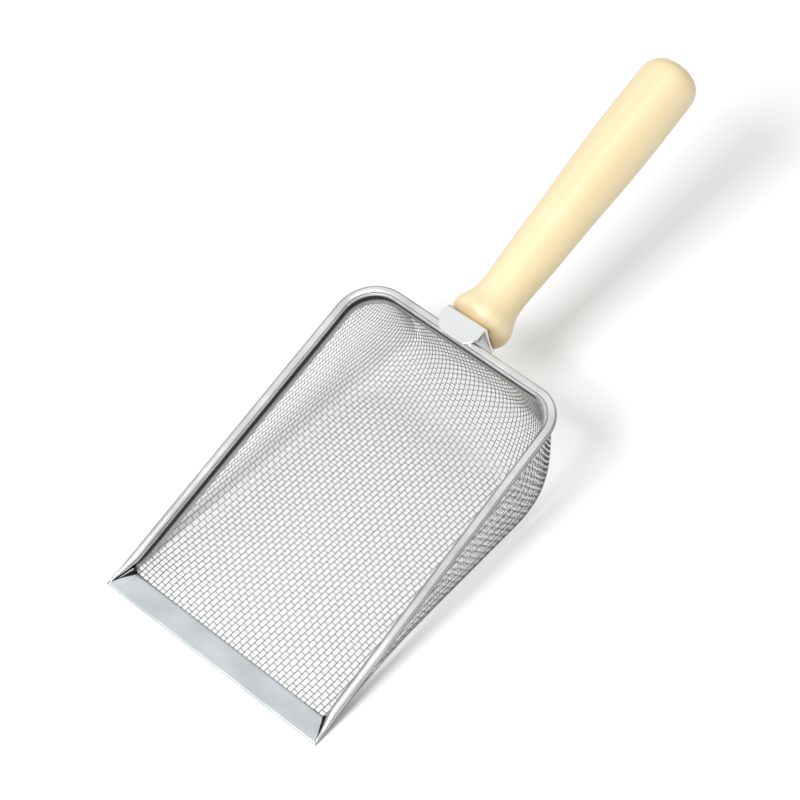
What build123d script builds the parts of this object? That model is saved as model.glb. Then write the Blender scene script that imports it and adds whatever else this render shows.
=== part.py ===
"""Sand scoop: a pressed wire-mesh pan with a rolled sheet rim, a folded front lip and a turned wooden handle.

The scoop stands on its flat mesh floor. +Y runs from the lip to the handle, +Z is up, and the rim lies in a
plane that rises from the lip at RIM_PITCH. The origin is on the ground, under the middle of the flat floor.
All sizes are in millimetres.
"""

import os
from math import cos, radians, sin, tan

from build123d import *

# ---- driving dimensions -------------------------------------------------------------------------------
PAN_WIDTH = 125.0        # over the beads, at the lip
PAN_LENGTH = 183.0       # from the lip's front edge to the back of the rim, measured along the rim
SIDE_TAPER = 2.9         # each side of the rim comes in by this much at the back
RIM_PITCH = 21.8         # degrees between the rim and the floor
RIM_CORNER_R = 21.5      # outer radius of the rim's back corners
ORIGIN_FROM_LIP = 80.0   # the origin's distance behind the lip's front edge

BEAD_R = 2.4             # rolled edge of the rim strip
CORE_WIRE_R = 1.8        # wire that the bead is rolled over
BEAD_TIP_R = 0.9         # the bead is pinched down to this at the lip
BEAD_TIP_LENGTH = 15.0
SKIRT_HEIGHT = 6.6       # flat band of the rim strip, below the bead's centre
SKIRT_INSET = 3.4        # from the rim's outer edge to the band's inner face
SHEET = 0.6              # rim strip and lip

MESH_THICKNESS = 0.9     # two wire diameters
SIDE_LEAN = 1.0          # degrees, the pan's side walls lean in towards the floor
BACK_LEAN = 6.0          # degrees, the same for its back wall
HEEL_R = 26.0            # between the floor and the back wall
FRONT_EDGE_R = 1.2       # between the floor and the sides, at the lip
FILLET_FULL_Y = 144.0    # where that radius has grown to the back corners' radius

LIP_DEPTH = 12.0
LIP_MITRE = 6.5          # the lip's inner edge is shorter than its front edge by this, at each end
LIP_HEM = 5.6            # depth of the leaf folded under

STRAP_WIDTH = 21.6       # handle bracket
STRAP_SHEET = 1.5
STRAP_CENTRE_X = -4.4    # the bracket and handle sit a little to the left of the middle
STRAP_FRONT = 178.6      # along the rim, from the lip
STRAP_BACK = 191.0
STRAP_DROP = 27.0        # bottom of the back plate, below the rim plane
STRAP_LEAN = 6.0         # degrees, the back plate's foot comes forward
STRAP_CORNER_R = 6.5
STRAP_BEND_R = 1.0       # inside radius of the fold

HANDLE_DROP = 12.0       # axis below the rim plane
HANDLE_LENGTH = 155.0
HANDLE_FOOT_R = 12.6
HANDLE_FLARE_R = 15.2
HANDLE_NECK_R = 11.3
HANDLE_GRIP_R = 14.5
DOME_START = 143.0       # along the handle, where its end begins to round over

SCREW_R = 2.0
SCREW_LENGTH = 26.0      # in the wood
SCREW_HEAD_R = 3.9
SCREW_HEAD_HEIGHT = 2.2
WASHER_R = 5.2
WASHER_THICKNESS = 0.9

# ---- the rim's own frame ------------------------------------------------------------------------------
pitch = radians(RIM_PITCH)
ALONG = Vector(0, cos(pitch), sin(pitch))
NORMAL = Vector(0, -sin(pitch), cos(pitch))
LIP_FRONT = Vector(0, -ORIGIN_FROM_LIP, 0)


def on_rim(x, along, height=0.0):
    """Point at x, a distance along the rim from the lip, and a height above the rim plane."""
    return LIP_FRONT + Vector(x, 0, 0) + ALONG * along + NORMAL * height


def half_width(along, inset):
    """Half the width of the rim's outline, taken in by inset, at a distance along the rim."""
    return PAN_WIDTH / 2 - inset - SIDE_TAPER * along / PAN_LENGTH


def rim_path(inset, start):
    """Points of the U that the rim follows, open at the lip."""
    back = PAN_LENGTH - inset
    front_x = half_width(start, inset)
    back_x = half_width(back, inset)
    return [(-front_x, start), (-back_x, back), (back_x, back), (front_x, start)]


RIM = Plane(origin=LIP_FRONT, x_dir=(1, 0, 0), z_dir=NORMAL)
MESH_OUTSIDE = SKIRT_INSET - SHEET - MESH_THICKNESS   # inset of the mesh's outer face
CORNER_R = RIM_CORNER_R - MESH_OUTSIDE


# ---- the pan's shape ----------------------------------------------------------------------------------
def side_plane(side, inset):
    """Plane of a side wall; side is 1 on the right and -1 on the left, and the normal points outwards."""
    edge = on_rim(side * half_width(PAN_LENGTH, inset), PAN_LENGTH) - on_rim(side * half_width(0, inset), 0)
    down = NORMAL * -cos(radians(SIDE_LEAN)) - Vector(side * sin(radians(SIDE_LEAN)), 0, 0)
    return Plane(origin=on_rim(side * half_width(0, inset), 0), x_dir=edge, z_dir=edge.cross(down) * -side)


def back_plane(inset):
    """Plane of the back wall, normal outwards."""
    outward = ALONG * cos(radians(BACK_LEAN)) - NORMAL * sin(radians(BACK_LEAN))
    return Plane(origin=on_rim(0, PAN_LENGTH - inset), x_dir=(1, 0, 0), z_dir=outward)


def wall_x(y, z, inset):
    """Where the right side wall stands at a y and z of the scoop's frame."""
    plane = side_plane(1, inset)
    n = plane.z_dir
    o = plane.origin
    return o.X - (n.Y * (y - o.Y) + n.Z * (z - o.Z)) / n.X


def pan_section(y, inset, top, radius):
    """Sketch of the pan's inside at y, from its floor up to a height over the rim plane."""
    floor = inset - MESH_OUTSIDE
    rim_z = (y + ORIGIN_FROM_LIP) * tan(pitch) + top / cos(pitch)
    top_x = wall_x(y, rim_z, inset)
    floor_x = wall_x(y, floor, inset)
    with BuildSketch(Plane(origin=(0, y, 0), x_dir=(1, 0, 0), z_dir=(0, -1, 0))) as section:
        with BuildLine():
            Polyline((-top_x, rim_z), (-floor_x, floor), (floor_x, floor), (top_x, rim_z), close=True)
        make_face()
        fillet(section.vertices().group_by(Axis.Y)[0], radius=radius)
    return section.sketch


def pan_solid(inset, top, front):
    """Solid that fills the pan, its walls at an inset from the rim's outer edge.

    It reaches from the y of front to the back wall, and up to a height over the rim plane. The edges round
    the floor are rounded by the back corners' radius behind FILLET_FULL_Y, and by less and less before it.
    """
    corner_r = RIM_CORNER_R - inset
    join = FILLET_FULL_Y - ORIGIN_FROM_LIP
    floor = inset - MESH_OUTSIDE
    with BuildPart() as back:
        with Locations((0, PAN_LENGTH / 2, 0)):
            Box(2 * PAN_WIDTH, 2 * PAN_LENGTH, 2 * PAN_LENGTH)
        split(bisect_by=Plane(origin=(0, join, 0), z_dir=(0, 1, 0)), keep=Keep.TOP)
        split(bisect_by=Plane.XY.offset(floor), keep=Keep.TOP)
        split(bisect_by=RIM.offset(top), keep=Keep.BOTTOM)
        split(bisect_by=side_plane(1, inset), keep=Keep.BOTTOM)
        split(bisect_by=side_plane(-1, inset), keep=Keep.BOTTOM)
        split(bisect_by=back_plane(inset), keep=Keep.BOTTOM)
        heel = back.faces().sort_by(Axis.Z)[0].edges().filter_by(Axis.X).sort_by(Axis.Y)[-1]
        fillet(heel, radius=HEEL_R - floor)
        for side in (0, -1):
            wall = back.faces().sort_by(Axis.X)[side]
            ring = wall.edges().sort_by(Axis.Y)[1:]
            rounded = ring.sort_by(Axis(origin=(0, 0, 0), direction=NORMAL))[:-1]
            fillet(rounded, radius=corner_r)
    with BuildPart() as whole:
        add(back.part)
        add(back.faces().sort_by(Axis.Y)[0])
        add(pan_section(front, inset, top, FRONT_EDGE_R))
        loft(ruled=True)
    return whole.part



os.makedirs("parts", exist_ok=True)
lip_back = LIP_DEPTH - ORIGIN_FROM_LIP
lip_top = MESH_THICKNESS + SHEET

# ---- mesh basket: one skin of cloth, pressed to shape, with its front edge inside the lip ---------------
with BuildPart() as mesh_basket:
    add(pan_solid(MESH_OUTSIDE, -BEAD_R - 0.02, lip_back))
    add(pan_solid(MESH_OUTSIDE + MESH_THICKNESS, 10, lip_back - 2), mode=Mode.SUBTRACT)
    with BuildSketch(Plane.XY):
        with Locations((0, lip_back - (LIP_DEPTH - LIP_HEM) / 2)):
            Rectangle(PAN_WIDTH - 2 * LIP_MITRE - 4, LIP_DEPTH - LIP_HEM - 0.4)
        with Locations((0, lip_back)):
            Rectangle(PAN_WIDTH - 2 * LIP_MITRE - 4, 1)
    extrude(amount=MESH_THICKNESS)
mesh_basket.part.label = "mesh_basket"
export_step(mesh_basket.part, "parts/mesh_basket.step")

# ---- rim strip: sheet rolled over a wire, with a flat band that the cloth is fastened to -----------------
with BuildPart() as band:
    add(pan_solid(SKIRT_INSET - SHEET, -BEAD_R * 0.8, lip_back))
    add(pan_solid(SKIRT_INSET, 10, lip_back - 2), mode=Mode.SUBTRACT)
    add(mesh_basket.part, mode=Mode.SUBTRACT)
    split(bisect_by=RIM.offset(-SKIRT_HEIGHT), keep=Keep.TOP)
    split(bisect_by=Plane.XY.offset(2 * lip_top), keep=Keep.TOP)

with BuildLine(RIM) as bead_line:
    Polyline(*rim_path(BEAD_R, BEAD_TIP_LENGTH))
    fillet(bead_line.vertices().sort_by(Axis.Y)[-2:], radius=RIM_CORNER_R - BEAD_R)

with BuildPart() as rim_core_wire:
    with BuildSketch(Plane(origin=bead_line.line @ 0, z_dir=bead_line.line % 0)):
        Circle(CORE_WIRE_R)
    sweep(path=bead_line.line)
rim_core_wire.part.label = "rim_core_wire"
export_step(rim_core_wire.part, "parts/rim_core_wire.step")

with BuildPart() as rim_strip:
    with BuildSketch(Plane(origin=bead_line.line @ 0, z_dir=bead_line.line % 0)):
        Circle(BEAD_R)
    sweep(path=bead_line.line)
    for side, end in ((-1, 0), (1, 1)):
        run = bead_line.line % end
        with BuildSketch(Plane(origin=bead_line.line @ end, x_dir=(1, 0, 0), z_dir=run)):
            Circle(BEAD_R)
        with BuildSketch(Plane(origin=on_rim(side * half_width(0, BEAD_TIP_R), 0), x_dir=(1, 0, 0), z_dir=run)):
            Circle(BEAD_TIP_R)
        loft()
    add(rim_core_wire.part, mode=Mode.SUBTRACT)
    add(band.part)
    split(bisect_by=Plane.XY.offset(lip_top), keep=Keep.TOP)
rim_strip.part.label = "rim_strip"
export_step(rim_strip.part, "parts/rim_strip.step")

# ---- front lip: a strip folded over the cloth's front edge ----------------------------------------------
with BuildPart() as front_lip:
    with BuildSketch(Plane.YZ.offset(-PAN_WIDTH / 2)):
        with BuildLine() as lip_line:
            upper = lip_top - SHEET / 2
            nose = -ORIGIN_FROM_LIP + lip_top / 2
            under = Line((LIP_HEM - ORIGIN_FROM_LIP, SHEET / 2), (nose, SHEET / 2))
            fold = ThreePointArc(under @ 1, (nose - (upper - SHEET / 2) / 2, lip_top / 2), (nose, upper))
            Line(fold @ 1, (lip_back, upper))
        trace(lip_line.line, line_width=SHEET)
    extrude(amount=PAN_WIDTH)
    for side in (1, -1):
        run = Vector(-side * LIP_MITRE, LIP_DEPTH, 0)
        end = Plane(origin=LIP_FRONT + Vector(side * half_width(0, 0), 0, 0), x_dir=run,
                    z_dir=run.cross(Vector(0, 0, 1)) * side)
        split(bisect_by=end, keep=Keep.BOTTOM)
front_lip.part.label = "front_lip"
export_step(front_lip.part, "parts/front_lip.step")

# ---- handle bracket: a folded strap, its tongue on the rim and its plate behind the pan ------------------
tongue_top = BEAD_R + STRAP_SHEET
lean = radians(STRAP_LEAN)
PLATE_DOWN = NORMAL * -cos(lean) - ALONG * sin(lean)
PLATE_OUT = ALONG * cos(lean) - NORMAL * sin(lean)
tongue_mid = tongue_top - STRAP_SHEET / 2
plate_mid = STRAP_BACK - STRAP_SHEET / 2
plate_back = plate_mid + STRAP_SHEET / 2 / cos(lean) - (tongue_mid + HANDLE_DROP) * tan(lean)
handle_seat = on_rim(STRAP_CENTRE_X, plate_back, -HANDLE_DROP)
SEAT = Plane(origin=handle_seat, x_dir=(1, 0, 0), z_dir=PLATE_OUT)

with BuildPart() as handle_bracket:
    side_view = Plane(origin=on_rim(STRAP_CENTRE_X - STRAP_WIDTH / 2, 0), x_dir=ALONG, z_dir=(1, 0, 0))
    with BuildSketch(side_view):
        with BuildLine() as strap_line:
            foot = plate_mid - (STRAP_DROP + tongue_mid) * tan(lean)
            Polyline((STRAP_FRONT, tongue_mid), (plate_mid, tongue_mid), (foot, -STRAP_DROP))
            fillet(strap_line.vertices().group_by(Axis.X)[-1], radius=STRAP_BEND_R + STRAP_SHEET / 2)
        trace(strap_line.line, line_width=STRAP_SHEET)
    extrude(amount=STRAP_WIDTH)
    front_corners = handle_bracket.edges().filter_by(Axis((0, 0, 0), NORMAL))
    fillet(front_corners, radius=STRAP_CORNER_R)
    plate_corners = handle_bracket.edges().filter_by(Axis((0, 0, 0), PLATE_OUT))
    fillet(plate_corners, radius=STRAP_CORNER_R)
    with BuildSketch(SEAT):
        Circle(SCREW_R)
    extrude(amount=-2 * STRAP_SHEET, mode=Mode.SUBTRACT)
handle_bracket.part.label = "handle_bracket"
export_step(handle_bracket.part, "parts/handle_bracket.step")

# ---- fastening: a washer on the plate's inner face, and a screw into the wood ---------------------------
with BuildPart() as screw_washer:
    with BuildSketch(SEAT.offset(-STRAP_SHEET)):
        Circle(WASHER_R)
        Circle(SCREW_R, mode=Mode.SUBTRACT)
    extrude(amount=-WASHER_THICKNESS)
screw_washer.part.label = "screw_washer"
export_step(screw_washer.part, "parts/screw_washer.step")

under_head = STRAP_SHEET + WASHER_THICKNESS
with BuildPart() as handle_screw:
    with BuildSketch(Plane(origin=handle_seat, x_dir=(1, 0, 0), z_dir=PLATE_OUT.cross(Vector(1, 0, 0)) * -1)):
        with BuildLine():
            Polyline((0, -under_head - SCREW_HEAD_HEIGHT), (0, SCREW_LENGTH), (SCREW_R, SCREW_LENGTH - SCREW_R),
                     (SCREW_R, -under_head), (SCREW_HEAD_R, -under_head))
            ThreePointArc((SCREW_HEAD_R, -under_head),
                          (SCREW_HEAD_R * 0.72, -under_head - SCREW_HEAD_HEIGHT * 0.72),
                          (0, -under_head - SCREW_HEAD_HEIGHT))
        make_face()
    revolve(axis=Axis(handle_seat, PLATE_OUT))
    with BuildSketch(SEAT.offset(-under_head - SCREW_HEAD_HEIGHT / 2)):
        Rectangle(SCREW_HEAD_R, SCREW_R * 0.4)
        Rectangle(SCREW_R * 0.4, SCREW_HEAD_R)
    extrude(amount=-SCREW_HEAD_HEIGHT, mode=Mode.SUBTRACT)
handle_screw.part.label = "handle_screw"
export_step(handle_screw.part, "parts/handle_screw.step")

# ---- handle: turned wood, with a flared foot, a slim neck and a full grip -------------------------------
with BuildPart() as handle:
    turning = Plane(origin=handle_seat, x_dir=(1, 0, 0), z_dir=NORMAL)
    with BuildSketch(turning):
        with BuildLine():
            base = Line((0, -2), (HANDLE_FOOT_R, -2))
            edge = Line(base @ 1, (HANDLE_FOOT_R, 0.5))
            Spline(edge @ 1, (HANDLE_FLARE_R, 6.2), (HANDLE_FLARE_R - 1.6, 11.4), (HANDLE_NECK_R, 19.5),
                   (HANDLE_NECK_R, 25), (HANDLE_NECK_R + 0.9, 43), (HANDLE_GRIP_R - 1.4, 73),
                   (HANDLE_GRIP_R - 0.3, 98), (HANDLE_GRIP_R, 120), (HANDLE_GRIP_R - 0.1, DOME_START))
            end_r = HANDLE_GRIP_R - 0.1
            Bezier((end_r, DOME_START), (end_r, DOME_START + 0.62 * (HANDLE_LENGTH - DOME_START)),
                   (0.62 * end_r, HANDLE_LENGTH), (0, HANDLE_LENGTH))
            Line((0, HANDLE_LENGTH), (0, -2))
        make_face()
    revolve(axis=Axis(handle_seat, ALONG))
    split(bisect_by=SEAT, keep=Keep.TOP)
    add(handle_screw.part, mode=Mode.SUBTRACT)
handle.part.label = "handle"
export_step(handle.part, "parts/handle.step")
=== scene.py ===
"""Looks for a hand sand scoop: woven wire pan, rolled metal rim, folded lip, bracket and turned handle.

The scoop stands on its flat mesh floor. +Y runs from the lip to the handle and +Z is up. Sizes are worked out
in millimetres and become metres when a mesh is made.
"""

import logging
import math
from dataclasses import dataclass, field
from enum import Enum

import bpy
import numpy as np
from mathutils import Matrix

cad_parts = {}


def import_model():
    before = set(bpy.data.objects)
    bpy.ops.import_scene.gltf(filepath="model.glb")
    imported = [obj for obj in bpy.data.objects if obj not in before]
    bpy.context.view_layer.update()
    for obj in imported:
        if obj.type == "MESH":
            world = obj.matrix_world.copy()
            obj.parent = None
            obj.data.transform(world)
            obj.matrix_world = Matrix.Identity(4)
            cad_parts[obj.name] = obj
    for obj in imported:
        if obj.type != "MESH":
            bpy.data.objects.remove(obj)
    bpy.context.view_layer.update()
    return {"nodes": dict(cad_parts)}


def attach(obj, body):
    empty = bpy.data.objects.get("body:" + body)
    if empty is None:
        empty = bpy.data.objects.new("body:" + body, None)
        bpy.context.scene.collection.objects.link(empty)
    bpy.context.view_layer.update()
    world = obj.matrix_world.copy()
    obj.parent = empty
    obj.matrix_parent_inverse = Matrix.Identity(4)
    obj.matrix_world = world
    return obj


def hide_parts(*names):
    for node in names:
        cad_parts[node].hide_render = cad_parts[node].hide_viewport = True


logging.basicConfig(level=logging.INFO, format="%(name)s: %(message)s")
log = logging.getLogger("sand_scoop")

MM = 0.001
TINY = 1e-9
X_AXIS = np.array([1.0, 0.0, 0.0])
Triple = tuple[float, float, float]
Socket = bpy.types.NodeSocket


class Slot(Enum):
    """The record's material slots, handed to a new piece's build but not used."""

    MESH = "mesh"
    SHEET = "sheet"
    WOOD = "wood"


class Run(Enum):
    """Which way a wire of the cloth runs."""

    LENGTHWAYS = "lengthways"
    CROSSWAYS = "crossways"


# ---- small helpers --------------------------------------------------------------------------------------
def smooth_step(value: np.ndarray) -> np.ndarray:
    """Ease from 0 to 1: 3t^2 - 2t^3 of the value held between 0 and 1."""
    t = np.clip(value, 0.0, 1.0)
    return t * t * (3.0 - 2.0 * t)


def lengths(vectors: np.ndarray) -> np.ndarray:
    """Length of each vector of the last axis, kept off zero, with that axis still in place."""
    return np.maximum(np.linalg.norm(vectors, axis=-1, keepdims=True), TINY)


def unit(vectors: np.ndarray) -> np.ndarray:
    """Each vector of the last axis, divided by its length."""
    return vectors / lengths(vectors)


def run_length(places: np.ndarray) -> np.ndarray:
    """Length of a flat path from its start to each of its points: the sum of its steps up to there."""
    return np.concatenate([[0.0], np.cumsum(np.hypot(*np.diff(places, axis=0).T))])


def ring_angles(sides: int) -> np.ndarray:
    """Evenly spaced angles round a full turn, starting at 0."""
    return 2 * math.pi * np.arange(sides) / sides


def tube_faces(rings: int, sides: int) -> np.ndarray:
    """Quads of a tube's wall, whose vertex (r, c) is number r * sides + c.

    Args:
        rings: Number of rings along the tube.
        sides: Number of vertices round a ring.

    Returns:
        The quads, [step along, side, 4 vertex numbers].
    """
    low = np.arange(rings - 1)[:, None] * sides
    here = np.arange(sides)[None, :]
    after = (here + 1) % sides
    return np.stack([low + here, low + after, low + sides + after, low + sides + here], axis=-1)


def cap_faces(sides: int) -> np.ndarray:
    """Quads across a ring of an even number of vertices, each between two neighbours and their opposites."""
    half = np.arange(sides // 2 - 1)
    return np.stack([half, half + 1, sides - 2 - half, sides - 1 - half], axis=-1)


def outward(points: np.ndarray, quads: np.ndarray) -> np.ndarray:
    """The quads of a closed shell, turned over if its signed volume is negative.

    The volume is a sixth of the sum, over the two triangles of each quad, of a . (b x c).

    Args:
        points: Vertex positions, one row each.
        quads: Faces of one closed shell.

    Returns:
        The same faces, wound so that they point outwards.
    """
    a, b, c, d = (points[quads[:, k]] for k in range(4))
    volume = (np.einsum("ij,ij->i", a, np.cross(b, c)) + np.einsum("ij,ij->i", a, np.cross(c, d))).sum()
    return quads if volume > 0 else quads[:, ::-1]


@dataclass
class Shell:
    """Closed surfaces gathered for one piece."""

    points: list[np.ndarray] = field(default_factory=list)
    faces: list[np.ndarray] = field(default_factory=list)
    coords: list[np.ndarray] = field(default_factory=list)
    count: int = 0

    def add_tube(self, rings: np.ndarray, along: np.ndarray, around: np.ndarray) -> None:
        """Add a tube whose ends are closed by quads across them.

        Args:
            rings: Positions, [ring, place round the ring, 3].
            along: Pattern coordinate of each ring, in metres.
            around: Pattern coordinate of each place round the ring, in metres.
        """
        count, sides = rings.shape[:2]
        points = rings.reshape(-1, 3)
        cap = cap_faces(sides)
        quads = np.vstack([tube_faces(count, sides).reshape(-1, 4), cap[:, ::-1], cap + (count - 1) * sides])
        self.points.append(points)
        self.faces.append(outward(points, quads) + self.count)
        pattern = np.stack(np.broadcast_arrays(along[:, None], around[None, :]), axis=-1)
        self.coords.append(pattern.reshape(-1, 2))
        self.count += len(points)

    def build(self, name: str, slot: Slot, material: bpy.types.Material) -> bpy.types.Object:
        """Make the piece's mesh and dress it.

        Args:
            name: Name of the piece.
            slot: Not used.
            material: Its material.

        Returns:
            The new object, riding on the scoop's one body.
        """
        points, faces, coords = (np.vstack(parts) for parts in (self.points, self.faces, self.coords))
        return make_piece(name, points, faces, coords, material)


def make_piece(name: str, points: np.ndarray, quads: np.ndarray, coords: np.ndarray,
               material: bpy.types.Material) -> bpy.types.Object:
    """Put arrays into a new smooth-shaded mesh object that rides on the scoop.

    Args:
        name: Name of the piece.
        points: Positions in millimetres.
        quads: Faces, four vertex numbers each.
        coords: Pattern coordinates of each vertex, in metres, kept as the piece's UV map.
        material: The piece's material.

    Returns:
        The new object.
    """
    mesh = bpy.data.meshes.new(name)
    mesh.vertices.add(len(points))
    mesh.vertices.foreach_set("co", (points * MM).astype(np.float32).ravel())
    mesh.loops.add(quads.size)
    mesh.loops.foreach_set("vertex_index", quads.astype(np.int32).ravel())
    mesh.polygons.add(len(quads))
    mesh.polygons.foreach_set("loop_start", np.arange(0, quads.size, 4, dtype=np.int32))
    mesh.update(calc_edges=True)
    mesh.polygons.foreach_set("use_smooth", np.ones(len(quads), dtype=bool))
    layer = mesh.uv_layers.new(name="surface")
    layer.data.foreach_set("uv", coords[quads.ravel()].astype(np.float32).ravel())
    mesh.validate()
    mesh.materials.append(material)
    piece = bpy.data.objects.new(name, mesh)
    bpy.context.scene.collection.objects.link(piece)
    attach(piece, "root")
    log.info("%s: %d faces", name, len(quads))
    return piece


# ---- the pan's shape ------------------------------------------------------------------------------------
@dataclass(frozen=True)
class Pan:
    """Sizes shared by the rim and the cloth, and the slanting plane that the rim lies in."""

    width: float = 125.0
    length: float = 183.0
    side_taper: float = 2.9
    pitch: float = math.radians(21.8)
    left_corner: float = 21.5
    right_corner: float = 15.8
    lip_to_origin: float = 80.0

    @property
    def along(self) -> np.ndarray:
        """Unit vector along the rim, from the lip to the handle."""
        return np.array([0.0, math.cos(self.pitch), math.sin(self.pitch)])

    @property
    def normal(self) -> np.ndarray:
        """Unit vector square to the rim's plane, upwards."""
        return np.array([0.0, -math.sin(self.pitch), math.cos(self.pitch)])

    @property
    def lip_front(self) -> np.ndarray:
        """Middle of the lip's front edge, on the ground."""
        return np.array([0.0, -self.lip_to_origin, 0.0])

    def point(self, x: np.ndarray, along: np.ndarray, height: np.ndarray) -> np.ndarray:
        """Places given in the rim's own directions.

        Args:
            x: Distances across the pan.
            along: Distances along the rim from the lip's front.
            height: Heights above the rim's plane.

        Returns:
            Positions, with one more axis than the widest of the three.
        """
        x, along, height = np.broadcast_arrays(x, along, height)
        return (self.lip_front + x[..., None] * X_AXIS + along[..., None] * self.along
                + height[..., None] * self.normal)

    def beside(self, places: np.ndarray, normals: np.ndarray, out: np.ndarray,
               height: np.ndarray) -> np.ndarray:
        """Points at a distance outside the rim's outline and a height above its plane.

        Args:
            places: Places (x, along) on the outline.
            normals: Outward unit normals there.
            out: Distances outwards, [place, point].
            height: Heights, [place, point].

        Returns:
            Positions, [place, point, 3].
        """
        x = places[:, None, 0] + out * normals[:, None, 0]
        along = places[:, None, 1] + out * normals[:, None, 1]
        return self.point(x, along, height)

    def half_width(self, along: np.ndarray) -> np.ndarray:
        """Half the rim's width at a distance along it: it tapers evenly towards the back."""
        return self.width / 2 - self.side_taper * along / self.length

    def half_outline(self, start: float, r: float, step: float, turn_steps: int) -> tuple[np.ndarray, ...]:
        """The right half of the rim's outer edge, if its corner had a given radius.

        The straight run is divided evenly, and the corner is an arc tangent to the side and the back edge.

        Args:
            start: Distance along the rim at which the half begins.
            r: Radius of the corner.
            step: Longest step on a straight run.
            turn_steps: Steps round the corner.

        Returns:
            Positions (x, along) from the lip to the middle of the back, and outward unit normals.
        """
        slope = math.atan(self.side_taper / self.length)
        edge_x = float(self.half_width(np.array(0.0)))
        centre_y = self.length - r
        centre_x = edge_x - centre_y * math.tan(slope) - r / math.cos(slope)
        side_n = np.array([math.cos(slope), math.sin(slope)])
        side_top = np.array([centre_x, centre_y]) + r * side_n
        side_low = np.array([float(self.half_width(np.array(start))), start])
        count = int(np.hypot(*(side_top - side_low)) / step)
        t = np.linspace(0, 1, count, endpoint=False)[:, None]
        angle = slope + (math.pi / 2 - slope) * np.linspace(0, 1, turn_steps, endpoint=False)[:, None]
        arc_n = np.hstack([np.cos(angle), np.sin(angle)])
        back_count = int(centre_x / step)
        back_x = np.linspace(centre_x, 0.0, back_count)[:, None]
        places = np.vstack([side_low * (1 - t) + side_top * t, np.array([centre_x, centre_y]) + r * arc_n,
                            np.hstack([back_x, np.full_like(back_x, self.length)])])
        normals = np.vstack([np.tile(side_n, (count, 1)), arc_n, np.tile([0.0, 1.0], (back_count, 1))])
        return places, normals

    def outline(self, start: float, step: float = 1.5, turn_steps: int = 30) -> tuple[np.ndarray, ...]:
        """The U of the rim's outer edge, from the lip's left end round the back to its right end.

        Args:
            start: Distance along the rim at which both ends of the U lie.
            step: Longest step on a straight run.
            turn_steps: Steps round a corner.

        Returns:
            Positions (x, along), outward unit normals, and the length from the start, one row a point.
        """
        right, right_n = self.half_outline(start, self.right_corner, step, turn_steps)
        left, left_n = self.half_outline(start, self.left_corner, step, turn_steps)
        mirror = np.array([-1.0, 1.0])
        places = np.vstack([left * mirror, right[-2::-1]])
        normals = np.vstack([left_n * mirror, right_n[-2::-1]])
        return places, normals, run_length(places)


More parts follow.
